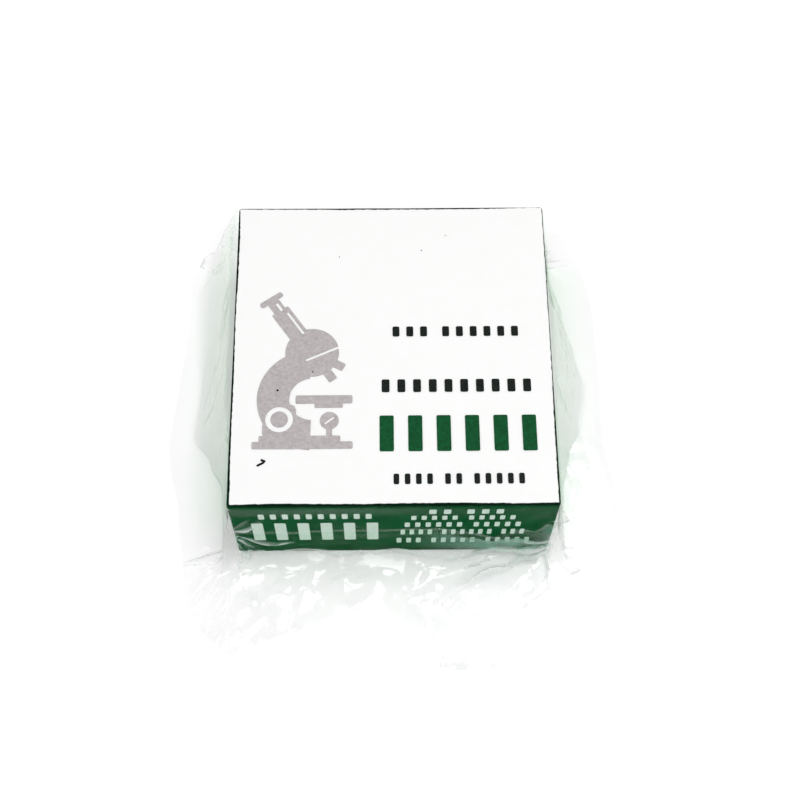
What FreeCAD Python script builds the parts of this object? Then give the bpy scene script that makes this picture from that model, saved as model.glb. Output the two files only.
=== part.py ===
"""Sealed pack of microscope slides: a closed, paper-wrapped board carton in a clear film bag.

The carton is a full-depth lid pushed over a tray. The bag keeps it shut, so it is one closed body. Only the
lid can be seen and, from below, the lid's rim, the open part of the seam inside it and the tray's floor.

The bag is one thin closed skin. It lies flat on the lid and under the tray, leans out from the lid's edges
to the table, and ends in two sheets sealed face to face: narrow at the two sides and deep at the mouth in
front. At the back the film is folded, so there is no seal there.

Millimetres, +Z up. The origin is on the underside of the bag, below the middle of the carton.
"""

import math
import os

import FreeCAD
import Part

# What the carton is made to hold: glass slides lying flat in stacks, side by side.
SLIDE_LENGTH = 76.2
SLIDE_WIDTH = 25.4
SLIDE_THICKNESS = 1.2
STACKS = 3
SLIDES_IN_STACK = 24
PLAY_ACROSS = 0.2  # free space beside the stacks
PLAY_ALONG = 4.2  # finger room past the slides' ends
PLAY_ABOVE = 1.4  # free space over the top slide

# The carton's board, with its glued paper wrap.
LID_WALL = 1.3
LID_TOP = 1.8
TRAY_WALL = 1.2
TRAY_FLOOR = 1.8
LID_CLEARANCE = 0.3  # between the lid's wall and the tray's
LID_LIFT = 0.6  # how far the lid's rim stays above the tray's underside
SEAM_DEPTH = 2.5  # how far up the seam between the lid's rim and the tray is open
EDGE_RADIUS = 0.5  # wrap turned over the board's level edges
CORNER_RADIUS = 0.7  # wrap drawn round the board's upright corners

# The film bag.
FILM = 0.08
LEAN_SIDE = 14.0  # how far out from the carton the film meets the table, left and right
LEAN_FRONT = 16.0
LEAN_BACK = 14.0
SIDE_SEAL = 4.0
MOUTH_SEAL = 20.0
MOUTH_CORNER = 9.0  # corners cut off the mouth's seal

TRAY_WIDTH = STACKS * SLIDE_WIDTH + PLAY_ACROSS + 2 * TRAY_WALL
TRAY_DEPTH = SLIDE_LENGTH + PLAY_ALONG + 2 * TRAY_WALL
CARTON_WIDTH = TRAY_WIDTH + 2 * (LID_CLEARANCE + LID_WALL)
CARTON_DEPTH = TRAY_DEPTH + 2 * (LID_CLEARANCE + LID_WALL)
CARTON_BASE = FILM
CARTON_TOP = CARTON_BASE + TRAY_FLOOR + SLIDES_IN_STACK * SLIDE_THICKNESS + PLAY_ABOVE + LID_TOP


def block(width, depth, low, high):
    """A box round the Z axis, between two heights."""
    return Part.makeBox(width, depth, high - low, FreeCAD.Vector(-width / 2, -depth / 2, low))


def upright_edges(solid):
    """The edges of a block that run straight up."""
    return [edge for edge in solid.Edges if edge.BoundBox.ZLength > 1e-6]


def edges_at(solid, height):
    """The edges that lie wholly at one height."""
    return [
        edge
        for edge in solid.Edges
        if abs(edge.BoundBox.ZMin - height) < 1e-6 and abs(edge.BoundBox.ZMax - height) < 1e-6
    ]


def board_block(width, depth, low, high, wrapped_edge):
    """A block of paper-wrapped board: rounded upright corners, and one rounded level edge, low or high."""
    solid = block(width, depth, low, high)
    solid = solid.makeFillet(CORNER_RADIUS, upright_edges(solid))
    return solid.makeFillet(EDGE_RADIUS, edges_at(solid, wrapped_edge))


def slide_carton():
    """The closed carton: lid over tray, one body above the open part of their seam."""
    rim = CARTON_BASE + LID_LIFT
    seam_top = rim + SEAM_DEPTH
    lid = board_block(CARTON_WIDTH, CARTON_DEPTH, rim, CARTON_TOP, CARTON_TOP)
    seam = block(CARTON_WIDTH - 2 * LID_WALL, CARTON_DEPTH - 2 * LID_WALL, rim, seam_top)
    tray = board_block(TRAY_WIDTH, TRAY_DEPTH, CARTON_BASE, seam_top, CARTON_BASE)
    return lid.cut(seam).fuse(tray).removeSplitter()


def outline(corners, height):
    """A closed wire of straight lines through (x, y) corners at one height."""
    points = [FreeCAD.Vector(x, y, height) for x, y in corners]
    return Part.makePolygon(points + points[:1])


def rectangle(left, right, front, back):
    return [(left, front), (right, front), (right, back), (left, back)]


def tent(low, high, extra):
    """The space under the leaning film, from the table up to the lid, with its walls moved out by extra."""
    side = CARTON_WIDTH / 2 + extra
    end = CARTON_DEPTH / 2 + extra
    top = rectangle(-side, side, -end, end)
    foot = rectangle(-side - LEAN_SIDE, side + LEAN_SIDE, -end - LEAN_FRONT, end + LEAN_BACK)
    return Part.makeLoft([outline(foot, low), outline(top, high)], True, True)


def seals(foot_extra):
    """The flat rim of two sheets sealed face to face, left, right and in front of the tent's foot."""
    foot_side = CARTON_WIDTH / 2 + LEAN_SIDE + foot_extra
    side = foot_side + SIDE_SEAL
    back = CARTON_DEPTH / 2 + LEAN_BACK + foot_extra
    front = -CARTON_DEPTH / 2 - LEAN_FRONT - MOUTH_SEAL
    right_half = [
        (side - MOUTH_CORNER, front),
        (side, front + MOUTH_CORNER),
        (side, back - SIDE_SEAL),
        (foot_side, back),
    ]
    left_half = [(-x, y) for x, y in reversed(right_half)]
    sheet = Part.Face(outline(right_half + left_half, 0))
    return sheet.extrude(FreeCAD.Vector(0, 0, 2 * FILM))


def film_bag():
    """The bag: a skin of the film's thickness round the tent, with its sealed rim."""
    steepness = math.atan2(CARTON_TOP, max(LEAN_SIDE, LEAN_FRONT, LEAN_BACK))
    level_thickness = FILM / math.sin(steepness)
    outside = tent(0, CARTON_TOP + FILM, level_thickness)
    inside = tent(CARTON_BASE, CARTON_TOP, 0)
    return outside.fuse(seals(level_thickness)).cut(inside).removeSplitter()


os.makedirs("parts", exist_ok=True)
for name, shape in (("slide_carton", slide_carton()), ("film_bag", film_bag())):
    box = shape.BoundBox
    print(name, len(shape.Solids), "solid", round(shape.Volume, 1), "mm3", "valid", shape.isValid())
    print("  x", box.XMin, box.XMax, "y", box.YMin, box.YMax, "z", box.ZMin, box.ZMax)
    shape.exportStep(f"parts/{name}.step")
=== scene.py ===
"""A sealed carton of microscope slides, lying in its clear film bag on a white light table."""

import math
import random

import bmesh
import bpy
from mathutils import Matrix, Vector, noise
from mathutils.bvhtree import BVHTree
from mathutils.geometry import delaunay_2d_cdt
from mathutils.kdtree import KDTree


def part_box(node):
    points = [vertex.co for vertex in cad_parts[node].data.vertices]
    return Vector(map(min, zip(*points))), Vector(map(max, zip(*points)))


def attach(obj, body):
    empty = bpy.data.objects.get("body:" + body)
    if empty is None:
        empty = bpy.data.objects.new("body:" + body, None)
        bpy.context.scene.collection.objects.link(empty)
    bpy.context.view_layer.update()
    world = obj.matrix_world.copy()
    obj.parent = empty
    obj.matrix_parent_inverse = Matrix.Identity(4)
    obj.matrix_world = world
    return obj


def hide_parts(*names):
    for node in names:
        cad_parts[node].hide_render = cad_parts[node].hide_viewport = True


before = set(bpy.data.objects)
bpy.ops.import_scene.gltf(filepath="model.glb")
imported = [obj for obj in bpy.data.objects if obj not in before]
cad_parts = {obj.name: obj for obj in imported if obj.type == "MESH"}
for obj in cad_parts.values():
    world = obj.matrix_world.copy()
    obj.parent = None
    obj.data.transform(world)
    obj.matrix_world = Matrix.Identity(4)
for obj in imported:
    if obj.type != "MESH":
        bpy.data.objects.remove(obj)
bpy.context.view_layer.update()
MM = 0.001


# ------------------------------ light table, lamp and camera
# The pack lies on a plain white acrylic light table under one wide soft lamp, in a pale room
# whose ceiling is darker than its walls, so that clear film has something to mirror.

TABLE_SIZE = 6.0
TABLE_GLOW = 0.16  # the table is lit a little from below, which keeps its bare parts white

LAMP_WIDTH, LAMP_DEPTH = 1.3, 0.6
LAMP_PLACE = (0.12, -0.08, 1.50)
LAMP_POWER = 15.4
WALL_BRIGHTNESS = 0.95
CEILING_BRIGHTNESS = 0.28
WALL_TOP, CEILING_EDGE = 0.10, 0.75  # where the room's walls start to darken, as sines of height

CAMERA_PLACE = (-2.2 * MM, -165.1 * MM, 353.5 * MM)
CAMERA_DOWN = math.radians(64.78)
CAMERA_LEFT = math.radians(-1.53)
CAMERA_ROLL = math.radians(1.0)
CAMERA_LENS, CAMERA_SENSOR = 62.86, 36.0
FILM_LAYERS = 40  # how many layers of clear film a ray of light may pass
LIGHT_BOUNCES = 16


def colour(hex_code):
    """A colour written as sRGB hex, as Blender's shaders take it."""
    channels = [int(hex_code[i : i + 2], 16) / 255 for i in (1, 3, 5)]
    linear = [c / 12.92 if c <= 0.04045 else ((c + 0.055) / 1.055) ** 2.4 for c in channels]
    return (*linear, 1.0)


def new_material(name):
    material = bpy.data.materials.new(name)
    material.use_nodes = True
    material.node_tree.nodes.clear()
    return material


def add_node(material, kind, settings=None, **inputs):
    """Adds a node. Each input is a value, an output to link from, or a node for its first output."""
    tree = material.node_tree
    node = tree.nodes.new("ShaderNode" + kind)
    for key, value in (settings or {}).items():
        setattr(node, key, value)
    for key, value in inputs.items():
        socket = node.inputs[int(key[1:])] if key[1:].isdigit() else node.inputs[key.replace("_", " ")]
        if isinstance(value, bpy.types.Node):
            value = next(out for out in value.outputs if out.enabled)
        if isinstance(value, bpy.types.NodeSocket):
            tree.links.new(value, socket)
        else:
            socket.default_value = value
    return node


def deselect():
    for other in bpy.context.selected_objects:
        other.select_set(False)


deselect()
bpy.ops.mesh.primitive_grid_add(x_subdivisions=2, y_subdivisions=2, size=TABLE_SIZE)
table = bpy.context.object
table.name = "light_table"

acrylic = new_material("white acrylic table")
matt = add_node(acrylic, "BsdfDiffuse", Color=colour("#f5f5f5"))
glow = add_node(acrylic, "Emission", Color=colour("#ffffff"), Strength=TABLE_GLOW)
lit = add_node(acrylic, "AddShader", i0=matt, i1=glow)
ray = add_node(acrylic, "LightPath")
seen = ray.outputs["Is Camera Ray"]
for other in ("Is Glossy Ray", "Is Transmission Ray"):
    seen = add_node(acrylic, "Math", {"operation": "MAXIMUM"}, i0=seen, i1=ray.outputs[other])
surface = add_node(acrylic, "MixShader", i0=seen, i1=matt, i2=lit)
add_node(acrylic, "OutputMaterial", Surface=surface)
table.data.materials.append(acrylic)

room = bpy.data.worlds.new("pale room")
room.use_nodes = True
room.node_tree.nodes.clear()
direction = add_node(room, "TexCoord")
height = add_node(room, "SeparateXYZ", i0=direction.outputs["Generated"])
shade = add_node(
    room, "MapRange", i0=height.outputs["Z"],
    i1=WALL_TOP, i2=CEILING_EDGE, i3=WALL_BRIGHTNESS, i4=CEILING_BRIGHTNESS,
)
air = add_node(room, "Background", Color=colour("#ffffff"), Strength=shade)
add_node(room, "OutputWorld", Surface=air)
bpy.context.scene.world = room

bpy.ops.object.light_add(type="AREA", location=LAMP_PLACE)
lamp = bpy.context.object
lamp.name = "soft_lamp"
lamp.data.shape = "RECTANGLE"
lamp.data.size = LAMP_WIDTH
lamp.data.size_y = LAMP_DEPTH
lamp.data.energy = LAMP_POWER
lamp.rotation_euler = Vector(LAMP_PLACE).to_track_quat("Z", "Y").to_euler()

bpy.ops.object.camera_add(location=CAMERA_PLACE)
camera = bpy.context.object
camera.name = "camera"
turn = Matrix.Rotation(CAMERA_LEFT, 3, "Z") @ Matrix.Rotation(math.pi / 2 - CAMERA_DOWN, 3, "X")
camera.rotation_euler = (turn @ Matrix.Rotation(CAMERA_ROLL, 3, "Z")).to_euler()
camera.data.lens = CAMERA_LENS
camera.data.sensor_width = CAMERA_SENSOR
bpy.context.scene.camera = camera
bpy.context.scene.view_settings.view_transform = "Standard"
bpy.context.scene.cycles.transparent_max_bounces = FILM_LAYERS
bpy.context.scene.cycles.max_bounces = LIGHT_BOUNCES


# ------------------------------ carton lid
# The lid is stiff grey board, glued up at the corners and wrapped in printed art paper. The wrap
# is green on the walls and turns over the board's edges round the white field of the top.

LID_WALL = 1.3 * MM
RIM_HEIGHT = 0.6 * MM
SEAM_DEPTH = 2.5 * MM
UPRIGHT_RADIUS = 0.7 * MM
TOP_RADIUS = 0.5 * MM
WHITE_MARGIN = 0.46 * MM  # the green wrap that shows round the white field
EDGE_CUTS = 27
EDGE_WAVE = 0.30 * MM  # the hand-glued edges aren't quite straight
WAVE_LENGTH = 14 * MM
CRUSH_DEPTH, CRUSH_REACH = 0.55 * MM, 12 * MM  # the knock in the front left corner
BOARD_ANGLE = math.radians(35)  # board that bends by more than this shows a sharp edge
LEVEL = 0.001 * MM  # heights this near count as the same

carton_low, carton_high = (Vector(corner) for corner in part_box("slide_carton"))
carton_size = carton_high - carton_low
carton_middle = (carton_high + carton_low) / 2
rim_z = carton_low.z + RIM_HEIGHT


def select_only(piece):
    """Leaves one piece selected, for the operators that come next."""
    deselect()
    piece.select_set(True)
    bpy.context.view_layer.objects.active = piece


def finish_piece(piece):
    """Bakes a finished piece's place into its mesh and sets it on the part's only body."""
    select_only(piece)
    bpy.ops.object.transform_apply()
    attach(piece, "root")


def select_where(piece, kind, chosen):
    """In edit mode, selects just the faces, or just the edges, that chosen picks."""
    bpy.ops.mesh.select_mode(type=kind)
    mesh = bmesh.from_edit_mesh(piece.data)
    elements = mesh.faces if kind == "FACE" else mesh.edges
    for element in elements:
        element.select = False
    for element in elements:
        if chosen(element):
            element.select = True
    if kind == "FACE":
        mesh.select_flush(True)
    bmesh.update_edit_mesh(piece.data)


def is_upright(edge):
    run = edge.verts[1].co - edge.verts[0].co
    return abs(run.z) > 0.9 * run.length


def is_long_and_level(edge):
    return edge.calc_length() > CRUSH_REACH and not is_upright(edge)


def apply_modifiers(piece):
    for modifier in list(piece.modifiers):
        bpy.ops.object.modifier_apply(modifier=modifier.name)


deselect()
bpy.ops.mesh.primitive_cube_add(size=1)
lid = bpy.context.object
lid.name = "carton_lid"
lid.scale = (carton_size.x, carton_size.y, carton_size.z - RIM_HEIGHT)
lid.location = carton_middle + Vector((0, 0, RIM_HEIGHT / 2))
bpy.ops.object.transform_apply()
bpy.ops.object.mode_set(mode="EDIT")
select_where(lid, "EDGE", is_upright)
bpy.ops.mesh.bevel(offset=UPRIGHT_RADIUS, segments=3)
select_where(lid, "EDGE", lambda edge: all(abs(v.co.z - carton_high.z) < LEVEL for v in edge.verts))
bpy.ops.mesh.bevel(offset=TOP_RADIUS, segments=3)
select_where(lid, "EDGE", is_long_and_level)
bpy.ops.mesh.subdivide(number_cuts=EDGE_CUTS)
select_where(lid, "FACE", lambda face: all(abs(v.co.z - rim_z) < LEVEL for v in face.verts))
bpy.ops.mesh.inset(thickness=LID_WALL)
bpy.ops.mesh.extrude_region_move(TRANSFORM_OT_translate={"value": (0, 0, SEAM_DEPTH)})
bpy.ops.mesh.select_all(action="SELECT")
bpy.ops.mesh.normals_make_consistent(inside=False)
bpy.ops.object.mode_set(mode="OBJECT")

edges = lid.vertex_groups.new(name="top edges")
for vert in lid.data.vertices:
    inwards = min(carton_size.x / 2 - abs(vert.co.x), carton_size.y / 2 - abs(vert.co.y))
    if vert.co.z > carton_high.z - 2 * TOP_RADIUS and inwards < 2 * TOP_RADIUS:
        edges.add([vert.index], 1.0, "REPLACE")
wave = bpy.data.textures.new("hand-glued edge", "CLOUDS")
wave.noise_scale = WAVE_LENGTH
bpy.ops.object.modifier_add(type="DISPLACE")
waver = lid.modifiers[-1]
waver.texture = wave
waver.texture_coords = "LOCAL"
waver.direction = "Z"
waver.vertex_group = "top edges"
waver.mid_level = 0.9  # the waves go mostly down
waver.strength = EDGE_WAVE
apply_modifiers(lid)

bpy.ops.object.mode_set(mode="EDIT")
crushed = Vector((carton_low.x, carton_low.y, carton_high.z))
select_where(lid, "EDGE", lambda edge: all((v.co - crushed).length < 3 * TOP_RADIUS for v in edge.verts))
bpy.ops.transform.translate(
    value=(0, 0, -CRUSH_DEPTH),
    use_proportional_edit=True,
    proportional_size=CRUSH_REACH,
    proportional_edit_falloff="SMOOTH",
)
bpy.ops.object.mode_set(mode="OBJECT")
bpy.ops.object.shade_smooth_by_angle(angle=BOARD_ANGLE)
finish_piece(lid)
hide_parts("slide_carton")

# Coated art paper with offset ink: nearly matt under the film, with painted shade that darkens the
# green where it turns the edge, a white field whose cut wanders by up to 0.3 mm, and rubbed spots at
# the corners.
FIBRE_SCALE = 1400.0  # fibres about 0.7 mm long
INK_SCALE = 260.0  # ink that varies over about 4 mm
RAGGED_SCALE, RAGGED_REACH = 700.0, 0.1 * MM  # the small nicks of a cut edge
DRIFT_SCALE, DRIFT_REACH = 36.0, 0.2 * MM  # a white field whose edge drifts over about 28 mm
CUT_BLUR = 0.04 * MM
EDGE_SHADE_START, EDGE_SHADE_END = 1.8 * MM, 0.5 * MM  # how far below the top the painted shade of the edge starts, and is full
RUB_START, RUB_END, RUB_RAGGED = 1.9 * MM, 2.2 * MM, 4 * MM  # pale spots, largest at the corners

paper = new_material("art paper, green offset print with a white field")
place = add_node(paper, "TexCoord")
split = add_node(paper, "SeparateXYZ", i0=place.outputs["Object"])
past_walls = []
for axis, half in (("X", carton_size.x / 2), ("Y", carton_size.y / 2)):
    out = add_node(paper, "Math", {"operation": "ABSOLUTE"}, i0=split.outputs[axis])
    past_walls.append(add_node(paper, "Math", {"operation": "SUBTRACT"}, i0=out, i1=half))
side, end = past_walls
ragged = add_node(
    paper, "TexNoise", i0=place.outputs["Object"], Scale=RAGGED_SCALE, Detail=3.0, Roughness=0.6
)
drift = add_node(paper, "TexNoise", i0=place.outputs["Object"], Scale=DRIFT_SCALE, Detail=0.0)
from_edge = add_node(paper, "Math", {"operation": "MAXIMUM"}, i0=side, i1=end)
for sway, reach in ((ragged, RAGGED_REACH), (drift, DRIFT_REACH)):
    sway = add_node(paper, "MapRange", i0=sway, i1=0.3, i2=0.7, i3=-reach, i4=reach)
    from_edge = add_node(paper, "Math", {"operation": "ADD"}, i0=from_edge, i1=sway)
field = add_node(
    paper, "MapRange", i0=from_edge,
    i1=-WHITE_MARGIN - CUT_BLUR, i2=-WHITE_MARGIN + CUT_BLUR, i3=1.0, i4=0.0,
)
facing = add_node(paper, "NewGeometry")
facing = add_node(paper, "SeparateXYZ", i0=facing.outputs["Normal"])
top = add_node(paper, "Math", {"operation": "GREATER_THAN"}, i0=facing.outputs["Z"], i1=0.8)
field = add_node(paper, "Math", {"operation": "MULTIPLY"}, i0=field, i1=top)
ink_noise = add_node(
    paper, "TexNoise", i0=place.outputs["Object"], Scale=INK_SCALE, Detail=4.0, Roughness=0.55
)
# Painted shade: the green gets darker towards the lid's top edge.
turned = add_node(
    paper, "MapRange", i0=split.outputs["Z"],
    i1=carton_high.z - EDGE_SHADE_START, i2=carton_high.z - EDGE_SHADE_END,
)
rub = add_node(paper, "Math", {"operation": "ADD"}, i0=side, i1=end)
rub = add_node(paper, "Math", {"operation": "MULTIPLY_ADD"}, i0=ragged, i1=RUB_RAGGED, i2=rub)
rub = add_node(paper, "MapRange", i0=rub, i1=RUB_START, i2=RUB_END)
# The green varies in tone at random, takes the painted shade near the top edge, and is rubbed pale at the
# corners.
green = colour("#023a1a")
for share, over in ((ink_noise, "#045e31"), (turned, "#03200f"), (rub, "#b9c4ba")):
    green = add_node(paper, "Mix", {"data_type": "RGBA"}, Factor=share, i6=green, i7=colour(over))
white = add_node(
    paper, "Mix", {"data_type": "RGBA"},
    Factor=ink_noise, i6=colour("#f8f8f7"), i7=colour("#fcfcfc"),
)
print_colour = add_node(paper, "Mix", {"data_type": "RGBA"}, Factor=field, i6=green, i7=white)
fibre = add_node(paper, "TexNoise", i0=place.outputs["Object"], Scale=FIBRE_SCALE, Detail=4.0)
gloss = add_node(paper, "MapRange", i0=fibre, i3=0.38, i4=0.56)
relief = add_node(paper, "Bump", Strength=0.25, Distance=0.02 * MM, Height=fibre)
sheet = add_node(
    paper, "BsdfPrincipled", Base_Color=print_colour,
    Roughness=gloss, Specular_IOR_Level=0.01, Normal=relief,
)
add_node(paper, "OutputMaterial", Surface=sheet)
lid.data.materials.append(paper)


# ------------------------------ carton tray
# The slides lie in a tray of the same board, which fills the lid and shows only underneath: a
# white lining paper is turned under its edges, and the board is bare inside the turned strip.

TRAY_CLEARANCE = 0.3 * MM
TURNED_STRIP = 11 * MM
LINING_THICKNESS = 0.12 * MM
TRAY_DROP = 0.05 * MM  # the gap between the modelled foot of the tray and the lid's inside
FLECK_SCALE = 900.0  # flecks about 1 mm long

deselect()
tray_inset = LID_WALL + TRAY_CLEARANCE
tray_height = RIM_HEIGHT + SEAM_DEPTH - TRAY_DROP
bpy.ops.mesh.primitive_cube_add(size=1)
tray = bpy.context.object
tray.name = "carton_tray"
tray.scale = (carton_size.x - 2 * tray_inset, carton_size.y - 2 * tray_inset, tray_height)
tray.location = (carton_middle.x, carton_middle.y, carton_low.z + tray_height / 2)
bpy.ops.object.transform_apply()
bpy.ops.object.mode_set(mode="EDIT")
select_where(tray, "EDGE", is_upright)
bpy.ops.mesh.bevel(offset=UPRIGHT_RADIUS, segments=3)
select_where(tray, "EDGE", lambda edge: all(v.co.z < carton_low.z + LEVEL for v in edge.verts))
bpy.ops.mesh.bevel(offset=TOP_RADIUS, segments=3)
select_where(tray, "FACE", lambda face: face.normal.z < -0.99)
bpy.ops.mesh.inset(thickness=TURNED_STRIP)
bpy.ops.mesh.extrude_region_move(TRANSFORM_OT_translate={"value": (0, 0, LINING_THICKNESS)})
bpy.ops.object.mode_set(mode="OBJECT")
bpy.ops.object.shade_smooth_by_angle(angle=BOARD_ANGLE)
finish_piece(tray)
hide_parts("slide_carton")

# Uncoated lining paper over greyboard, which is pressed from waste paper and shows its flecks.
lining = new_material("white lining paper over greyboard")
place = add_node(lining, "TexCoord")
split = add_node(lining, "SeparateXYZ", i0=place.outputs["Object"])
bare = add_node(
    lining, "MapRange", i0=split.outputs["Z"],
    i1=carton_low.z + 0.5 * LINING_THICKNESS, i2=carton_low.z + 0.9 * LINING_THICKNESS,
)
below = add_node(lining, "NewGeometry")
below = add_node(lining, "SeparateXYZ", i0=below.outputs["Normal"])
below = add_node(lining, "Math", {"operation": "LESS_THAN"}, i0=below.outputs["Z"], i1=-0.9)
bare = add_node(lining, "Math", {"operation": "MULTIPLY"}, i0=bare, i1=below)
flecks = add_node(lining, "TexNoise", i0=place.outputs["Object"], Scale=FLECK_SCALE, Detail=5.0)
board = add_node(
    lining, "Mix", {"data_type": "RGBA"},
    Factor=flecks, i6=colour("#8d877c"), i7=colour("#b5afa3"),
)
board = add_node(lining, "Mix", {"data_type": "RGBA"}, Factor=bare, i6=colour("#efeee9"), i7=board)
relief = add_node(lining, "Bump", Strength=0.4, Distance=0.03 * MM, Height=flecks)
sheet = add_node(lining, "BsdfPrincipled", Base_Color=board, Roughness=0.85, Normal=relief)
add_node(lining, "OutputMaterial", Surface=sheet)
tray.data.materials.append(lining)


# ------------------------------ print on the carton
# Offset ink on the art paper. Plain rows of blocks stand where such a carton has its words, black
# and green on the top and white on the front wall, beside a grey picture of a plain microscope. The
# front wall's white is coloured with painted shade, darker and greener than the white of the top.

INK_THICKNESS = 0.03 * MM
INK_CORNER = 0.35  # how far a block's corners are rounded, in millimetres
BLOCK_SHARE = 0.5  # how much of a row's pitch a block fills, the rest being the gap
WORD_GAP = 0.6  # the extra gap between two words, in pitches
MOTTLE_SCALE = 1100.0  # ink that is mottled over about 0.9 mm


def add_ink(size, middle, turned=0.0, rounded=INK_CORNER):
    """A flat block of ink on the lid's top. Sizes and places are in millimetres, the turn in degrees."""
    bpy.ops.mesh.primitive_cube_add(size=1)
    block = bpy.context.object
    block.scale = (size[0] * MM, size[1] * MM, INK_THICKNESS)
    bpy.ops.object.transform_apply()
    bpy.ops.object.mode_set(mode="EDIT")
    select_where(block, "EDGE", is_upright)
    bpy.ops.mesh.bevel(offset=min(rounded, 0.4 * min(size)) * MM, segments=2)
    bpy.ops.object.mode_set(mode="OBJECT")
    block.location = (middle[0] * MM, middle[1] * MM, carton_high.z + INK_THICKNESS / 2)
    block.rotation_euler = (0, 0, math.radians(turned))
    return block


def add_disc(radius, middle):
    """A round spot of ink on the lid's top, in millimetres."""
    bpy.ops.mesh.primitive_cylinder_add(vertices=48, radius=radius * MM, depth=INK_THICKNESS)
    disc = bpy.context.object
    disc.location = (middle[0] * MM, middle[1] * MM, carton_high.z + INK_THICKNESS / 2)
    return disc


def join(pieces, name):
    """Makes one piece of several, with their places baked in."""
    deselect()
    for piece in pieces:
        piece.select_set(True)
    bpy.context.view_layer.objects.active = pieces[0]
    bpy.ops.object.transform_apply()
    if len(pieces) > 1:
        bpy.ops.object.join()
    joined = bpy.context.object
    joined.name = name
    return joined


def word_row(words, left, right, middle, height):
    """A row of blocks from left to right. Each number is how many blocks a word has."""
    pitch = (right - left) / (sum(words) + WORD_GAP * (len(words) - 1) - (1 - BLOCK_SHARE))
    blocks = []
    start = left
    for word in words:
        for _ in range(word):
            width = BLOCK_SHARE * pitch
            blocks.append(add_ink((width, height), (start + width / 2, middle)))
            start += pitch
        start += WORD_GAP * pitch
    return blocks


def ink_material(name, dark, pale, roughness):
    """Offset ink: a thin even film that lets a little of the paper's tone through."""
    ink = new_material(name)
    place = add_node(ink, "TexCoord")
    mottle = add_node(
        ink, "TexNoise", i0=place.outputs["Object"], Scale=MOTTLE_SCALE, Detail=6.0, Roughness=0.75
    )
    spread = add_node(ink, "MapRange", i0=mottle, i1=0.35, i2=0.65)
    tone = add_node(ink, "Mix", {"data_type": "RGBA"}, Factor=spread, i6=colour(dark), i7=colour(pale))
    coat = add_node(ink, "BsdfPrincipled", Base_Color=tone, Roughness=roughness, Specular_IOR_Level=0.1)
    add_node(ink, "OutputMaterial", Surface=coat)
    return ink


def finish_print(piece, material):
    piece.data.materials.append(material)
    finish_piece(piece)


black_ink = ink_material("black offset ink", "#0d120f", "#1c2420", 0.6)
green_ink = ink_material("green offset ink", "#04401f", "#0a5a30", 0.6)
grey_ink = ink_material("grey offset ink, mottled", "#aba4a6", "#c4bebf", 0.7)
# Painted shade: the front wall's white is paper white as seen in shade, darker and greener than the top's
# white.
shaded_white_ink = ink_material("unprinted white paper in the green, in painted shade", "#c4dccd", "#dcebe2", 0.6)
pen_ink = ink_material("ballpoint ink", "#0a0a10", "#1b1b24", 0.45)

deselect()
small_words = word_row((3, 6), 0.1, 32.6, 5.0, 2.9)
small_words += word_row((10,), -2.8, 35.2, -10.6, 3.6)
small_words += word_row((4, 2, 5), 0.0, 32.4, -36.1, 2.8)
finish_print(join(small_words, "top_small_print"), black_ink)
finish_print(join(word_row((6,), -3.4, 36.0, -23.8, 9.8), "top_large_print"), green_ink)

# The front wall's rows are laid out flat, with heights above the table, then tipped up on the wall.
front_words = word_row((10,), -33.8, -5.5, 26.3, 3.4)
front_words += word_row((6,), -36.0, -3.9, 15.5, 12.4)
front_words += word_row((2, 3), 8.8, 27.3, 29.1, 3.0)
front_words += word_row((5, 5), 4.4, 30.5, 24.9, 2.9)
front_words += word_row((6, 5), 2.8, 32.2, 20.0, 3.2)
front_words += word_row((4, 6, 3), 1.8, 33.5, 14.6, 3.6)
front_words += word_row((3, 5, 5), 0.8, 35.3, 8.4, 3.6)
front_print = join(front_words, "front_print")
front_print.data.transform(Matrix.Translation((0, 0, -carton_high.z)))
front_print.data.transform(Matrix.Rotation(math.pi / 2, 4, "X"))
front_print.data.transform(Matrix.Translation((0, carton_low.y, 0)))
finish_print(front_print, shaded_white_ink)

# The picture is cut from flat shapes: an arm swept round an arc carries a leaning tube, with a
# stage, a mirror on a post and a stepped foot below, and a focus knob left open in the arm.
ARM_MIDDLE, ARM_RADIUS, ARM_WIDTH = Vector((-20.4, -14.2)), 9.9, 8.2
ARM_START, ARM_SWEEP = 96, 172  # degrees, anticlockwise from the right
HEAD = Vector((-20.6, -1.0))
KNOB = (-28.6, -19.8)
TUBE_LEAN = 35  # degrees from upright


def on_tube(along, across=0.0):
    """A place on the leaning tube, measured from the middle of the head."""
    lean = math.radians(TUBE_LEAN)
    axis = Vector((-math.sin(lean), math.cos(lean)))
    return HEAD + axis * along + Vector((axis.y, -axis.x)) * across


def combine(base, others, operation):
    """Cuts the others from the base, or merges them into it."""
    for other in others:
        select_only(base)
        bpy.ops.object.modifier_add(type="BOOLEAN")
        base.modifiers[-1].operation = operation
        base.modifiers[-1].solver = "EXACT"
        base.modifiers[-1].object = other
        apply_modifiers(base)
        bpy.data.objects.remove(other)


deselect()
bpy.ops.mesh.primitive_plane_add(size=1)
arm = bpy.context.object
arm.scale = (ARM_WIDTH * MM, INK_THICKNESS, 1)
arm.rotation_euler = (math.pi / 2, 0, 0)
arm.location = (ARM_RADIUS * MM, 0, 0)
bpy.ops.object.transform_apply()
arm.rotation_euler = (0, 0, math.radians(ARM_START))
bpy.ops.object.transform_apply()
bpy.ops.object.mode_set(mode="EDIT")
bpy.ops.mesh.select_all(action="SELECT")
bpy.ops.mesh.spin(steps=36, angle=math.radians(ARM_SWEEP), center=(0, 0, 0), axis=(0, 0, -1))
bpy.ops.mesh.select_all(action="SELECT")
bpy.ops.mesh.remove_doubles(threshold=0.001 * MM)
bpy.ops.mesh.normals_make_consistent(inside=False)
bpy.ops.object.mode_set(mode="OBJECT")
arm.location = (ARM_MIDDLE.x * MM, ARM_MIDDLE.y * MM, carton_high.z + INK_THICKNESS / 2)
bpy.ops.object.transform_apply()

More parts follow.
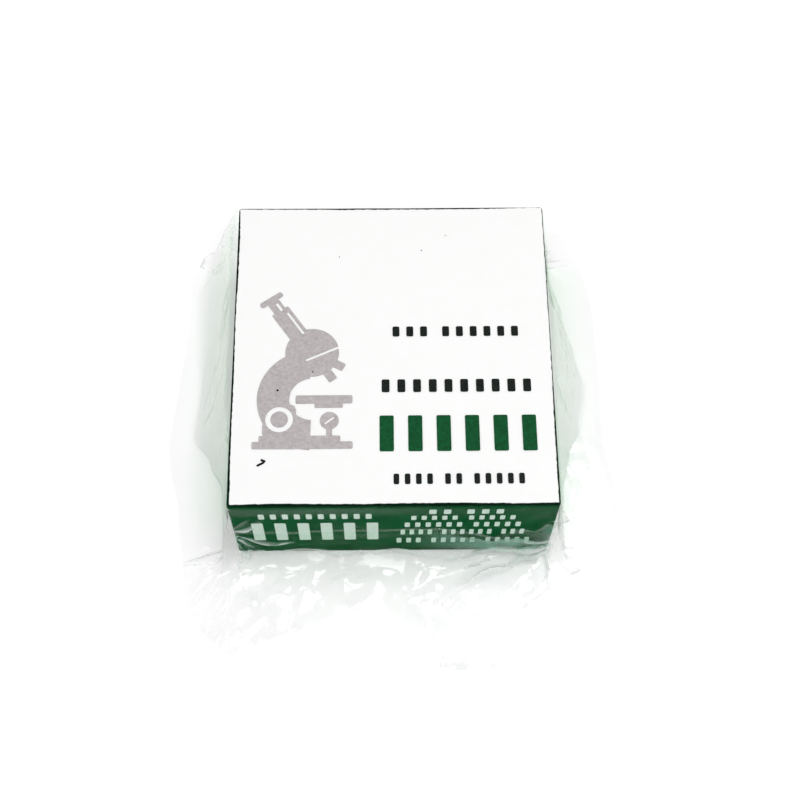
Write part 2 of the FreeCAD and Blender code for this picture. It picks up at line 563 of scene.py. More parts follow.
parts = [
    add_ink((25.2, 2.0), (-22.7, -26.9)),
    add_ink((20.4, 1.8), (-23.4, -25.2)),
    add_ink((8.4, 9.6), (-28.6, -20.4), rounded=1.6),
    add_ink((14.4, 2.3), (-17.4, -14.3)),
    add_ink((7.2, 1.5), (-16.2, -15.9)),
    add_disc(6.9, HEAD),
    add_ink((5.0, 10.4), on_tube(9.8), TUBE_LEAN),
    add_ink((3.3, 4.4), on_tube(16.4), TUBE_LEAN),
    add_ink((6.8, 1.6), on_tube(18.9), TUBE_LEAN, rounded=0.7),
    add_ink((2.4, 3.6), on_tube(-7.9), TUBE_LEAN),
    add_ink((2.3, 3.4), HEAD + Vector((6.7, -3.6)), 62),
    add_disc(2.4, (-16.0, -20.2)),
    add_ink((1.5, 4.4), (-16.0, -22.8)),
]
cuts = [
    add_ink((0.6, 7.6), on_tube(9.6, 1.3), TUBE_LEAN, rounded=0.2),
    add_ink((0.7, 2.6), on_tube(16.0, 0.5), TUBE_LEAN, rounded=0.2),
    add_ink((9.2, 0.6), HEAD + Vector((2.6, -0.4)), 24, rounded=0.2),
    add_ink((3.0, 0.5), (-16.0, -20.2), 38, rounded=0.2),
]
knob_ring = add_disc(3.5, KNOB)
knob_middle = add_disc(2.2, KNOB)
for cutter in [*cuts, knob_ring]:
    cutter.scale.z = 3
knob_middle.scale.z = 6
combine(arm, parts, "UNION")
combine(knob_ring, [knob_middle], "DIFFERENCE")
combine(arm, [*cuts, knob_ring], "DIFFERENCE")
finish_print(join([arm], "microscope_picture"), grey_ink)

# A short pen mark left by whoever counted the cartons, and a few stray specks of ink.
pen_mark = [
    add_ink((2.1, 0.55), (-32.9, -31.9), 28, rounded=0.2),
    add_ink((1.3, 0.6), (-32.3, -31.0), -24, rounded=0.2),
]
specks = [(8.0, 29.4, 0.16), (-13.8, 27.5, 0.13), (-20.4, -6.5, 0.2)]
specks += [(-29.2, -11.7, 0.3), (14.5, 34.0, 0.12)]
for x, y, radius in specks:
    speck = add_disc(radius, (x, y))
    speck.scale.z = 1.6
    pen_mark.append(speck)
finish_print(join(pen_mark, "pen_mark"), pen_ink)


# ------------------------------ film bag
# The bag is clear, crackly polypropylene film, sealed along its edges. It is drawn flat over the
# lid, hangs down the walls as a low tent and lies crumpled on the table. The flat film is filled
# with a loose mesh, laid round the carton, then settled as cloth that has a little spare length.

FILM_SPACING = 1.7  # millimetres between the film's points, before it is made finer
UNDER_SPACING, UNDER_Z = 3.4, 0.04  # the lower layer's spacing, and its height above the table
POINT_SWAY, ROW_STEP = 0.3, 0.866  # how far points stray, and rows lie apart, in spacings
CORNER_STEPS = 30  # the ways out round a quarter turn at each of the carton's corners
FILM_GAP = 0.15  # how far the film stays off the paper, in millimetres
FILM_LOW = 0.05  # how far the upper film stays off the table, in millimetres
CLOTH_SCALE = 0.01  # the cloth settles ten times as large, with a millimetre as a centimetre
CLOTH_FRAMES = 30
CLOTH_SLACK = 0.14  # the most spare length that the film has, as a share
BESIDE_SLACK, BEFORE_SLACK = 0.12, 0.6  # the shares of it at the sides, and in front and behind
CLOTH_STIFFNESS, CLOTH_DAMPING = 80, 10
BIG_FACET, SMALL_FACET = 11.0, 4.6  # how wide the crumples' facets are, before the film settles
BIG_CRUMPLE, SMALL_CRUMPLE = 2.6, 0.6  # and how high they stand
COARSE_FACET, FINE_FACET = 6.5, 2.9  # how wide the crackle's facets are, after that
COARSE_CRACKLE, FINE_CRACKLE = 0.55, 0.25  # and how high they stand
HELD_DEPTH = 1.5  # film no lower than this below the lid's top is held while the rest settles
TOP_DEPTH = 0.5  # film no lower than this counts as lying on the lid
TABLE_SKIN = 0.06  # film lower than this, in millimetres, is the lower layer or lies on it
FLAT_SPAN = 250.0  # millimetres of flat film across the pattern's square
WELD_ANGLE = 2.6  # film that turns back by more than this, in radians, is the bag's welded border
WELDED = 0.30  # how much film still mirrors where it is welded, or lies tight on the table
FILM_ANGLE = math.radians(55)  # film that bends by more than this shows a sharp crease

side_x, end_y, lid_z = carton_size.x / 2 / MM, carton_size.y / 2 / MM, carton_high.z / MM
dice = random.Random(7)

# Where the bag's edge lies on the table, in millimetres, going round from the front left.
edge_points = [
    *((-53, -62), (-42, -71), (-23, -65), (-2, -58), (9, -76), (27, -80), (34, -59), (46, -51)),
    *((57, -45), (61, -36), (58, -14), (58, 21), (56, 40), (50, 56), (20, 59), (-20, 60), (-50, 59)),
    *((-57, 40), (-58, 18), (-61, -12), (-57, -38)),
]

# How far out the film meets the table, along the left and right walls: (place, reach) pairs.
left_foot = [(-43, 4), (-26, 5), (-18, 8.5), (-10, 13.4), (6, 12.2), (18, 13.4), (34, 14), (43, 12)]
right_foot = [(-43, 4), (-27, 5), (-17, 7), (-8, 10.4), (4, 12.8), (14, 10.8), (25, 8.2), (43, 4.5)]

# From the lid's edge the film turns over a small lip, hangs to a knee, then to a bend, reaches the
# table at its foot and lies flat out to the bag's edge. Sizes are in millimetres.
LIP_OUT, LIP_DROP, LIP_SHARE = 0.5, 0.7, 0.3  # the lip is at most this share of the bend's way out
KNEE_HEIGHT, KNEE_OUT = 0.53, 0.65  # as shares of the lid's height and of the bend's way out
KNEE_RISE = 2.0  # how much higher the front knee is at the carton's right than at its middle
BEND_OUT, BEND_Z = 0.8, 6.0  # the bend's way out is a share of the foot's
FOOT_Z, EDGE_Z = 0.35, 0.06
BACK_FOOT, BACK_BULGE = 4, 9
FRONT_FOOT, FRONT_BEND, FRONT_BEND_Z = 4.6, 0.35, 2.2
EAR = 1.8  # how much farther out the spare film stands round the carton's corners
EAR_FOLDS = 8  # the folds of a full turn, so a quarter of them at each corner
CREASE_START, EAR_STEP, PLEAT_STEP = 3, 2.2, 1.6  # where the folds' creases start, and their steps


def smooth_step(low, high, value):
    share = max(0.0, min(1.0, (value - low) / (high - low)))
    return share * share * (3 - 2 * share)


def between(pairs, at):
    """The value at a place, from (place, value) pairs in rising order."""
    for (low, first), (high, last) in zip(pairs, pairs[1:]):
        if at <= high:
            return first + (last - first) * smooth_step(low, high, at)
    return pairs[-1][1]


def edge_curve(points, steps=8):
    """A closed line through the points, a little rounded, with small nicks and waves."""
    line = []
    for i, start in enumerate(points):
        before, start = Vector(points[i - 1]), Vector(start)
        end, after = Vector(points[(i + 1) % len(points)]), Vector(points[(i + 2) % len(points)])
        for step in range(steps):
            t = step / steps
            pull = (end - before) * t + (2 * before - 5 * start + 4 * end - after) * t**2
            rounded = start + 0.5 * (pull + (3 * start - before - 3 * end + after) * t**3)
            place = start.lerp(end, t).lerp(rounded, 0.25)
            nick = noise.noise(Vector((place.x / 7, place.y / 7, 1.3))) * 0.7
            line.append(place * (1 + nick / place.length))
    return line


bag_edge = edge_curve(edge_points)
edge_runs = []
for number, end in enumerate(bag_edge):
    start = bag_edge[number - 1]
    edge_runs.append((start.x, start.y, end.x - start.x, end.y - start.y))


def reach_to_edge(start, way):
    """How far the bag's edge is from a point on the lid's edge, going outwards."""
    best = 0.0
    start_x, start_y = start
    way_x, way_y = way
    for x, y, run_x, run_y in edge_runs:
        cross = way_x * run_y - way_y * run_x
        if abs(cross) < 1e-9:
            continue
        gap_x, gap_y = x - start_x, y - start_y
        share = (gap_x * way_y - gap_y * way_x) / cross
        if -1e-6 <= share <= 1 + 1e-6:
            best = max(best, (gap_x * run_y - gap_y * run_x) / cross)
    return best


def shape_beside(start, way):
    """Beside the carton: how far out the film's foot is, how high its knee, and where its bend."""
    foot = between(left_foot if way.x < 0 else right_foot, start.y)
    return Vector((foot, KNEE_HEIGHT * lid_z, foot * BEND_OUT, BEND_Z))


def shape_before(start, way):
    """The same in front of the carton, where the film bends away just above the table, and behind it."""
    if way.y > 0:
        foot = BACK_FOOT + BACK_BULGE * (1 - abs(start.x / side_x) ** 2.5)
        return Vector((foot, KNEE_HEIGHT * lid_z, foot * BEND_OUT, BEND_Z))
    ripple = noise.noise(Vector((start.x / 9, 5, 0)))
    bend_z = FRONT_BEND_Z + 2.4 * noise.noise(Vector((start.x / 11, 9, 0)))
    knee_z = KNEE_HEIGHT * lid_z + KNEE_RISE * start.x / side_x
    return Vector((FRONT_FOOT + 2.2 * ripple, knee_z, FRONT_BEND + 0.2 * ripple, bend_z))


def hang(start, way):
    """The film's line from the lid's edge to the table and out to its own edge: (out, up) points."""
    reach = reach_to_edge(start, way)
    shape = shape_before(start, way).lerp(shape_beside(start, way), smooth_step(0.1, 0.9, way.x**2))
    foot, knee_z, bend, bend_z = shape
    ear = EAR * (2 * way.x * way.y) ** 2 * (1 + 0.5 * math.cos(math.atan2(way.y, way.x) * EAR_FOLDS))
    foot = min(foot + ear, reach - 1.5)
    bend = min(bend + ear, foot - 0.3)
    knee = bend * KNEE_OUT * max(smooth_step(4, 12, foot), 0.25)
    lip = (min(LIP_OUT, LIP_SHARE * bend), lid_z - LIP_DROP)
    line = [(0, lid_z), lip, (knee, knee_z), (bend, max(0.6, bend_z)), (foot, FOOT_Z), (reach, EDGE_Z)]
    return [Vector(point) for point in line]


def line_length(line):
    return sum((b - a).length for a, b in zip(line, line[1:]))


def along_line(line, length):
    """The point that is this far along a line."""
    for a, b in zip(line, line[1:]):
        run = (b - a).length
        if length <= run:
            return a + (b - a) * (length / run)
        length -= run
    return line[-1].copy()


def from_lid(point):
    """The nearest point of the lid's edge to a point of the flat film, how far it is, and the way out."""
    start = Vector((max(-side_x, min(side_x, point.x)), max(-end_y, min(end_y, point.y))))
    way = point - start
    return start, way.length, (way.normalized() if way.length > 1e-6 else way)


def is_in_front(way):
    """Whether a way out goes straight to the front."""
    return way.y < -0.999


def is_at_corner(way):
    """Whether a way out goes slantwise, from one of the lid's corners."""
    return abs(way.x * way.y) > 1e-4


def facets(spacing, seed, span=130):
    """Crumpled film: flat facets of random size, as a surface of heights from -1 to 1."""
    pick = random.Random(seed)
    corners = []
    steps = int(span / spacing)
    for row in range(-steps, steps + 1):
        for column in range(-steps, steps + 1):
            x = column + 0.5 * (row % 2) + pick.uniform(-0.48, 0.48)
            corners.append(Vector((x * spacing, (row + pick.uniform(-0.48, 0.48)) * spacing)))
    flat, _, triangles = delaunay_2d_cdt(corners, [], [], 0, 1e-5)[:3]
    return BVHTree.FromPolygons([Vector((p.x, p.y, pick.uniform(-1, 1))) for p in flat], triangles)


def height_at(surface, point):
    hit = surface.ray_cast(Vector((point.x, point.y, 10)), Vector((0, 0, -1)))[0]
    return hit.z if hit else 0.0


# Where the film is gathered near the carton's corners, in the flat film: (place, height, pleats, reach).
gathers = [
    (Vector((-side_x - 2, -end_y - 19)), 2.2, 9, 29),
    (Vector((side_x + 3, -end_y - 26)), 3.0, 10, 44),
    (Vector((-side_x - 5, end_y + 14)), 0.6, 7, 30),
    (Vector((side_x + 5, end_y + 14)), 0.6, 7, 30),
]


def pleat_share(number, turn):
    """Which pleat of a gather lies in a direction, as a whole number at each pleat's valley."""
    count = gathers[number][2]
    sway = noise.noise(Vector((math.cos(turn) * 1.7, math.sin(turn) * 1.7, 4 + number)))
    return turn / (2 * math.pi) * count + 1.1 * sway


def zigzag(number, away):
    """How high a place stands in a gather's pleats: 1 on a ridge, -1 in a valley."""
    return 4 * abs(pleat_share(number, math.atan2(away.y, away.x)) % 1 - 0.5) - 1


def pleats(point):
    """How high the sharp pleats that fan out from the gathers stand at a place."""
    total = 0.0
    for number, (middle, height, _, reach) in enumerate(gathers):
        away = point - middle
        fading = 1 - smooth_step(0.4 * reach, reach, away.length)
        total += height * zigzag(number, away) * smooth_step(2, 11, away.length) * fading
    return total


def ridge_lines(point):
    """The white lines along the pleats' ridges, close round the front gathers, from 0 to 1."""
    lines = 0.0
    for number in (0, 1):
        away = point - gathers[number][0]
        line = smooth_step(0.55, 1.0, zigzag(number, away))
        lines = max(lines, line * (1 - smooth_step(5, 12, away.length)))
    return lines


def pleat_creases(number):
    """The straight creases along one gather's pleats, in the flat film."""
    middle, _, _, reach = gathers[number]
    lines = []
    for step in range(720):
        turns = [math.radians(0.5 * (step + k)) - math.pi for k in range(2)]
        halves = [math.floor(2 * pleat_share(number, turn)) for turn in turns]
        if halves[0] == halves[1]:
            continue
        way = Vector((math.cos(turns[0]), math.sin(turns[0])))
        steps = int((0.8 * reach - CREASE_START) / PLEAT_STEP)
        line = [middle + way * (CREASE_START + PLEAT_STEP * i) for i in range(steps)]
        inner = [place for place in line if is_inside(flat_edge, place) and from_border(place) > 3]
        lines.append([place for place in inner if from_lid(place)[1] > 1.5 and squeeze(place) > 0.45])
    return [line for line in lines if len(line) > 2 and line_length(line) < 1.7 * len(line)]


def gathered(point):
    """How near a place is to the front gathers, from 0 to 1."""
    low = Vector((0, -5))
    return max(1 - smooth_step(2, 14, (point - gather[0] - low).length) for gather in gathers[:2])


def crumple(point, length, way):
    """How crumpled the film is at a place in the flat film: smooth beside the carton, rough in front."""
    front = smooth_step(-end_y + 12, -end_y - 8, point.y)
    rough = smooth_step(4, 16, length) * (0.12 + 0.88 * front)
    if is_in_front(way):
        rough *= 0.16 + 0.84 * smooth_step(18, 30, length)
    return rough


def squeeze(point):
    """How much narrower the film lies than it is cut: 1 beside the lid, much less round its corners."""
    start, length, way = from_lid(point)
    if not is_at_corner(way):
        return 1.0
    return min(1.0, (along_line(hang(start, way), length).x + 2) / length)


def lay(point, big, small):
    """Where a point of the flat film comes to lie, and how much spare length the film has there."""
    start, length, way = from_lid(point)
    if length < 1e-6:
        return Vector((point.x, point.y, lid_z + FILM_GAP)), 0.0
    line = hang(start, way)
    out, up = along_line(line, length)
    rough = BIG_CRUMPLE * height_at(big, point) + SMALL_CRUMPLE * height_at(small, point)
    rough *= crumple(point, length, way)
    rough = (rough + pleats(point) * smooth_step(5, 14, length) * squeeze(point)) * squeeze(point)
    on_table = smooth_step(lid_z - 6, lid_z + 6, length)
    inside = smooth_step(1, 8, line_length(line) - length)
    place = start + way * (out + FILM_GAP + max(-0.2, rough) * (1 - on_table))
    lift = max(0.0, rough + 0.3) * on_table * inside
    spare = smooth_step(3, 18, length) * inside
    if is_at_corner(way):
        spare *= squeeze(point) ** 2
    else:
        spare *= BESIDE_SLACK if abs(way.x) > abs(way.y) else BEFORE_SLACK
    return Vector((place.x, place.y, max(FILM_LOW, up + FILM_GAP + lift))), spare


def spread_evenly(outline, spacing):
    """The same closed outline with its points evenly spaced."""
    closed = outline + outline[:1]
    whole = line_length(closed)
    count = round(whole / spacing)
    return [along_line(closed, whole * i / count) for i in range(count)]


def is_inside(outline, point):
    inside = False
    x, y = point
    before_x, before_y = outline[-1]
    for after_x, after_y in outline:
        if (before_y > y) != (after_y > y):
            if x < (after_x - before_x) * (y - before_y) / (after_y - before_y) + before_x:
                inside = not inside
        before_x, before_y = after_x, after_y
    return inside


def tree_of(points):
    """A search tree for the nearest of some flat points."""
    tree = KDTree(len(points))
    for i, point in enumerate(points):
        tree.insert((point.x, point.y, 0), i)
    tree.balance()
    return tree


def fill(outline, spacing, creases=(), share=lambda point: 1.0):
    """A loose triangle mesh inside a closed outline. The outline's own points come first."""
    fixed = list(outline)
    edges = [(i, (i + 1) % len(outline)) for i in range(len(outline))]
    for crease in creases:
        first = len(fixed)
        fixed += crease
        edges += [(first + i, first + i + 1) for i in range(len(crease) - 1)]
    taken = tree_of(fixed)
    low_x, low_y = min(p.x for p in outline), min(p.y for p in outline)
    columns = int((max(p.x for p in outline) - low_x) / spacing)
    rows = int((max(p.y for p in outline) - low_y) / (spacing * ROW_STEP))
    inside = []
    for row in range(rows + 1):
        for column in range(columns + 1):
            x = low_x + (column + 0.5 * (row % 2) + dice.uniform(-POINT_SWAY, POINT_SWAY)) * spacing
            y = low_y + (row * ROW_STEP + dice.uniform(-POINT_SWAY, POINT_SWAY)) * spacing
            point = Vector((x, y))
            if not is_inside(outline, point) or taken.find((x, y, 0))[2] < 0.6 * spacing:
                continue
            if dice.random() < share(point) ** 2:
                inside.append(point)
    filled = delaunay_2d_cdt(fixed + inside, edges, [], 1, 1e-5)
    return filled[0], filled[2]


def lid_sides():
    """The lid's four sides in turn, each as its two corners and the way out."""
    corners = [Vector(c) for c in ((side_x, -end_y), (side_x, end_y), (-side_x, end_y), (-side_x, -end_y))]
    for i, corner in enumerate(corners):
        run = corner - corners[i - 1]
        yield corners[i - 1], corner, Vector((run.y, -run.x)).normalized()


def steps_along(start, end, spacing):
    count = round((end - start).length / spacing)
    return [start.lerp(end, i / count) for i in range(count + 1)]


flat_edge = []
creases = []
for before, corner, out in lid_sides():
    run = (corner - before).normalized()
    starts = steps_along(before, corner, FILM_SPACING)
    flat_edge += [start + out * line_length(hang(start, out)) for start in starts[1:-1]]
    for step in range(CORNER_STEPS + 1):
        way = out.copy()
        way.rotate(Matrix.Rotation(math.pi / 2 * step / CORNER_STEPS, 2))
        flat_edge.append(corner + way * line_length(hang(corner, way)))
    for fold in range(1, EAR_FOLDS // 2):
        way = out.copy()
        way.rotate(Matrix.Rotation(math.pi / EAR_FOLDS * fold, 2))
        ear_line = line_length(hang(corner, way))
        steps = int((ear_line - 2 * CREASE_START) / EAR_STEP)
        creases.append([corner + way * (CREASE_START + EAR_STEP * step) for step in range(steps)])
    for beyond in (-0.2, 0.8):
        creases.append(steps_along(before + (out - run) * beyond, corner + (out + run) * beyond, 1.5))
    for corner_number in (5, 4, 3) if out.y < -0.9 else (5,):
        creases.append([start + out * line_length(hang(start, out)[:corner_number]) for start in starts])

flat_edge = spread_evenly(flat_edge, FILM_SPACING)
border = tree_of(flat_edge)


def from_border(point):
    return border.find((point.x, point.y, 0))[2]


creases += pleat_creases(0) + pleat_creases(1)
flat_points, upper_faces = fill(flat_edge, FILM_SPACING, creases, squeeze)
big_facets, small_facets = facets(BIG_FACET, 3), facets(SMALL_FACET, 5)
laid = [lay(point, big_facets, small_facets) for point in flat_points]
places = [place for place, _ in laid]
under_points, under_faces = fill([Vector(place[:2]) for place in places[: len(flat_edge)]], UNDER_SPACING)
under_rest = under_points[len(flat_edge) :]
under_names = [*range(len(flat_edge)), *range(len(places), len(places) + len(under_rest))]
places += [Vector((point.x, point.y, UNDER_Z)) for point in under_rest]
flat_points = list(flat_points) + under_rest
all_faces = [tuple(face) for face in upper_faces]
all_faces += [tuple(under_names[i] for i in reversed(face)) for face in under_faces]

film_mesh = bpy.data.meshes.new("film_bag_sheet")
film_mesh.from_pydata([place * CLOTH_SCALE for place in places], [], all_faces)
bag = bpy.data.objects.new("film_bag_sheet", film_mesh)
bpy.context.collection.objects.link(bag)
flat_cut = film_mesh.uv_layers.new(name="flat cut")
for loop in film_mesh.loops:
    flat = flat_points[loop.vertex_index]
    flat_cut.data[loop.index].uv = (flat.x / FLAT_SPAN + 0.5, flat.y / FLAT_SPAN + 0.5)
held = bag.vertex_groups.new(name="held")
slack = bag.vertex_groups.new(name="slack")
for i, place in enumerate(places):
    if i < len(flat_edge) or i >= len(laid) or place.z > lid_z - HELD_DEPTH:
        held.add([i], 1.0, "REPLACE")
    if i < len(laid):
        slack.add([i], laid[i][1], "REPLACE")

deselect()
bpy.ops.mesh.primitive_cube_add(size=1)
form = bpy.context.object
form.scale = (2 * side_x * CLOTH_SCALE, 2 * end_y * CLOTH_SCALE, lid_z * CLOTH_SCALE)
form.location = (0, 0, lid_z / 2 * CLOTH_SCALE)
bpy.ops.object.transform_apply()
bpy.ops.mesh.primitive_plane_add(size=4)
ground = bpy.context.object
for solid in (form, ground):
    bpy.context.view_layer.objects.active = solid
    bpy.ops.object.modifier_add(type="COLLISION")
    solid.collision.thickness_outer = 0.001
    solid.collision.cloth_friction = 6

select_only(bag)
bpy.ops.object.modifier_add(type="CLOTH")
settle = bag.modifiers[-1].settings
settle.quality = 7
settle.mass = 0.04
settle.air_damping = 2.0
settle.tension_stiffness = settle.compression_stiffness = CLOTH_STIFFNESS
settle.shear_stiffness = CLOTH_STIFFNESS / 2
settle.bending_stiffness = 0.3
settle.tension_damping = settle.compression_damping = settle.shear_damping = CLOTH_DAMPING
settle.bending_damping = 0.2
settle.vertex_group_mass = "held"
settle.vertex_group_shrink = "slack"
settle.shrink_min = 0.0
settle.shrink_max = -CLOTH_SLACK
touching = bag.modifiers[-1].collision_settings
touching.distance_min = 0.002
touching.collision_quality = 3
touching.use_self_collision = False
for frame_number in range(1, CLOTH_FRAMES + 1):
    bpy.context.scene.frame_set(frame_number)
apply_modifiers(bag)
bpy.context.scene.frame_set(1)
for solid in (form, ground):
    bpy.data.objects.remove(solid)
select_only(bag)
bag.scale = (MM / CLOTH_SCALE,) * 3
bpy.ops.object.transform_apply()

# The settled film is made finer, and its crackle is pressed in: small flat facets with sharp edges.
bpy.ops.object.mode_set(mode="EDIT")
select_where(bag, "FACE", lambda face: face.index < len(upper_faces))
bpy.ops.mesh.subdivide(number_cuts=1, smoothness=0.2)
bpy.ops.mesh.select_all(action="SELECT")
bpy.ops.mesh.quads_convert_to_tris()
bpy.ops.object.mode_set(mode="OBJECT")
film_mesh = bag.data
flat_of = {}
for loop in film_mesh.loops:
    uv = film_mesh.uv_layers[0].data[loop.index].uv
    flat_of[loop.vertex_index] = Vector(((uv.x - 0.5) * FLAT_SPAN, (uv.y - 0.5) * FLAT_SPAN))
coarse_crackle, fine_crackle = facets(COARSE_FACET, 11), facets(FINE_FACET, 13)
normals = [vert.normal.copy() for vert in film_mesh.vertices]
for vert in film_mesh.vertices:
    if vert.co.z < TABLE_SKIN * MM:
        continue
    flat = flat_of[vert.index]
    _, length, way = from_lid(flat)
    push = COARSE_CRACKLE * height_at(coarse_crackle, flat) + FINE_CRACKLE * height_at(fine_crackle, flat)
    push *= crumple(flat, length, way) * smooth_step(0, 7, from_border(flat)) * squeeze(flat)
    vert.co += normals[vert.index] * push * MM
    vert.co.z = max(vert.co.z, FILM_LOW * MM)
    gap_x = (side_x + FILM_GAP) * MM - abs(vert.co.x)
    gap_y = (end_y + FILM_GAP) * MM - abs(vert.co.y)
    if gap_x <= 0 or gap_y <= 0 or not TABLE_SKIN * MM < vert.co.z < (lid_z + FILM_GAP) * MM:
        continue
    if vert.co.z > (lid_z - TOP_DEPTH) * MM:
        vert.co.z = (lid_z + FILM_GAP) * MM
    elif gap_x < gap_y:
        vert.co.x += math.copysign(gap_x, vert.co.x)
    else:
        vert.co.y += math.copysign(gap_y, vert.co.y)

# Three values on the film's points drive its look: how sharply it is folded there, how loose it is,
# and how near the green walls. Film that clings to the paper or is welded mirrors little, film folded
# hard turns white, film pressed on the front wall's lower right is whitened as painted light, and film
# close beside the walls takes a painted green, standing in for the green light that the walls reflect.
HAZE_START, HAZE_FULL = 0.9, 1.6  # film folded this sharply, in radians, turns white
LOWER_WALL_LIGHT, RIDGE_HAZE = 1.05, 0.8  # how far past that the painted light on the wall's lower right, and ridges, go
KNEE_GLOSS, GATHER_GLOSS = 0.45, 0.15

bent = bmesh.new()
bent.from_mesh(film_mesh)
folded = [0.0] * len(film_mesh.vertices)
for edge in bent.edges:
    angle = abs(edge.calc_face_angle(0.0))
    if angle < WELD_ANGLE:
        for vert in edge.verts:
            folded[vert.index] = max(folded[vert.index], angle)
bent.free()


def film_in_front(flat, line, length, before, fold, painted_green):
    """The film over the front wall: how loose it is, how sharply folded or whitened by painted light, and
    how much painted green it takes.
    """
    knee, bend = line_length(line[:3]), line_length(line[:4])
    to_left, to_right = smooth_step(20, -20, flat.x), smooth_step(0, 34, flat.x)
    rise = Vector((flat.x / 24, (flat.y - 0.05 * flat.x) / 4, 2.0))
    patch = smooth_step(0.0, 0.55, noise.noise(rise))

    # Above its knee the film clings to the wall, and stands off most at the left. Below it the
    # film is looser towards the right, and the knee itself is a glossy crease.
    upper = (0.08 + 0.12 * to_left) * smooth_step(1, 2, length) * (1 - smooth_step(3, 8, length))
    upper += 0.05 * patch
    lower = 0.02 + 0.12 * patch + 0.14 * to_right
    free = upper + (lower - upper) * smooth_step(knee - 0.5, knee + 0.5, length)
    free += KNEE_GLOSS * (1 - smooth_step(0, 1.1, abs(length - knee)))
    free = max(free, GATHER_GLOSS * gathered(flat))
    free += (1 - free) * smooth_step(30, 40, length)

    # The bend and the pleats' ridges are whitened. The film pressed on the wall's lower right is
    # whitened and tinted teal as painted light, for the table's light thrown up onto the lower wall.
    at_bend = 1 - smooth_step(0.1, 1.0, abs(length - bend))
    fold += (0.4 + 0.9 * smooth_step(-15, 15, flat.x)) * at_bend
    pressed = 1 - smooth_step(0.8, 2.0, before)
    # Painted light: the lower right of the wall is lightened through the film's white haze.
    if knee < length < bend:
        painted_lower_light = to_right * (0.3 + 0.7 * smooth_step(knee, bend, length)) * (0.6 + 0.4 * patch)
        fold = max(fold, HAZE_START + LOWER_WALL_LIGHT * painted_lower_light * pressed)
    fold = max(fold, HAZE_START + RIDGE_HAZE * ridge_lines(flat))
    below = smooth_step(knee, knee + 1, length) * (1 - smooth_step(bend - 1, bend, length))
    # Painted green bounce: film pressed on the wall below the knee takes the painted green too.
    painted_green = max(painted_green, below * pressed) * (1 - ridge_lines(flat))
    return free, fold, painted_green


freedom, painted_green_share = [], []
for vert in film_mesh.vertices:
    flat = flat_of[vert.index]
    start, length, way = from_lid(flat)
    free = smooth_step(2, 12, length)
    fold = folded[vert.index] * smooth_step(1.0, 2.5, length)
    beside, before = abs(vert.co.x / MM) - side_x, -vert.co.y / MM - end_y
    # Painted green bounce: film beside the side walls, and a little in front, is tinted as if lit by the
    # green walls.
    painted_green = smooth_step(0, 1, beside) * (1 - smooth_step(3, 16, beside)) * (1 - smooth_step(-14, -2, before))
    painted_green = max(painted_green, 0.2 * smooth_step(0, 1, before) * (1 - smooth_step(2, 12, before)))
    if is_in_front(way):
        free, fold, painted_green = film_in_front(flat, hang(start, way), length, before, fold, painted_green)
    crowded = 1 - squeeze(flat)
    folded[vert.index] = fold * (1 - 0.6 * crowded)
    weld = smooth_step(2, 9, from_border(flat))
    if flat.y < -end_y:
        weld = max(weld, smooth_step(0.0, 0.3, noise.noise(flat.to_3d() / 15)))
    free *= (1 - 0.4 * crowded) * (WELDED + (1 - WELDED) * weld)
    above_table = vert.co.z > TABLE_SKIN * MM
    freedom.append(min(1.0, free) if above_table else WELDED)
    painted_green_share.append(painted_green * smooth_step(0.3, 0.0, crowded) if above_table else 0.0)
film_mesh.attributes.new("folded", "FLOAT", "POINT").data.foreach_set("value", folded)
film_mesh.attributes.new("loose", "FLOAT", "POINT").data.foreach_set("value", freedom)
film_mesh.attributes.new("painted_green_share", "FLOAT", "POINT").data.foreach_set("value", painted_green_share)
bpy.ops.object.shade_smooth_by_angle(angle=FILM_ANGLE)
finish_piece(bag)
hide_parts("film_bag")

# Clear glossy film: a light pane's mirror that grows steeply at a low angle, fine crackle lines,
# and white stress marks along its hardest folds, with painted light where it presses on the front
# wall's lower right. Both take a painted green close to the walls, for the light that the walls reflect.
CRACKLE_SCALE = 38.0  # crackle cells about 6.5 mm across in the 250 mm pattern
CRACKLE_HEIGHT = 0.12 * MM
FACE_ON_MIRROR, EDGE_ON_MIRROR = 0.058, 0.95
CLINGING_MIRROR = 0.02  # what is left of the mirror where the film clings to the paper
WHITEST = 0.6

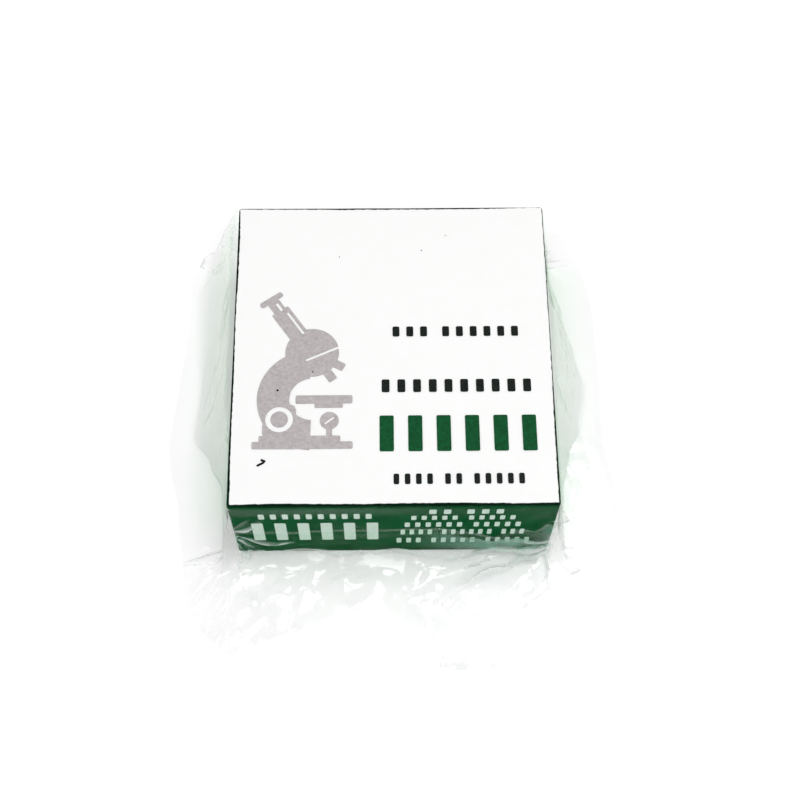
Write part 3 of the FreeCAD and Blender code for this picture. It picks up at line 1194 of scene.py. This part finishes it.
film = new_material("clear cast polypropylene film")
flat = add_node(film, "UVMap", {"uv_map": "flat cut"})
loose = add_node(film, "Attribute", {"attribute_name": "loose"})
painted_green_node = add_node(film, "Attribute", {"attribute_name": "painted_green_share"})
folds = add_node(film, "Attribute", {"attribute_name": "folded"})
cells = add_node(
    film, "TexVoronoi", {"feature": "DISTANCE_TO_EDGE"},
    Vector=flat, Scale=CRACKLE_SCALE, Randomness=1.0,
)
line = add_node(film, "MapRange", i0=cells, i2=0.06, i3=1.0, i4=0.0)
line = add_node(film, "Math", {"operation": "MULTIPLY"}, i0=line, i1=loose.outputs["Fac"])
ridge = add_node(film, "Bump", Strength=0.35, Distance=CRACKLE_HEIGHT, Height=line)
facing = add_node(film, "LayerWeight", Blend=0.5, Normal=ridge)
steep = add_node(film, "Math", {"operation": "POWER"}, i0=facing.outputs["Facing"], i1=3.0)
mirror = add_node(film, "MapRange", i0=steep, i3=FACE_ON_MIRROR, i4=EDGE_ON_MIRROR)
cling = add_node(film, "MapRange", i0=loose.outputs["Fac"], i3=CLINGING_MIRROR, i4=1.0)
mirror = add_node(film, "Math", {"operation": "MULTIPLY"}, i0=mirror, i1=cling)
tints = []
# The second colour of each pair is the painted green bounce from the walls.
for plain, painted_greenish in (("#fefefe", "#f9fefa"), ("#f0f1f0", "#edf5ed"), ("#f4f6f5", "#aee6cf")):
    tints.append(
        add_node(
            film, "Mix", {"data_type": "RGBA"},
            Factor=painted_green_node.outputs["Fac"], i6=colour(plain), i7=colour(painted_greenish),
        )
    )
clear = add_node(film, "BsdfTransparent", Color=tints[0])
shine = add_node(film, "BsdfGlossy", Color=tints[1], Roughness=0.09, Normal=ridge)
haze = add_node(film, "BsdfDiffuse", Color=tints[2])
skin = add_node(film, "MixShader", i0=mirror, i1=clear, i2=shine)
stress = add_node(film, "MapRange", i0=folds.outputs["Fac"], i1=HAZE_START, i2=HAZE_FULL, i4=WHITEST)
skin = add_node(film, "MixShader", i0=stress, i1=skin, i2=haze)
add_node(film, "OutputMaterial", Surface=skin)
bag.data.materials.append(film)
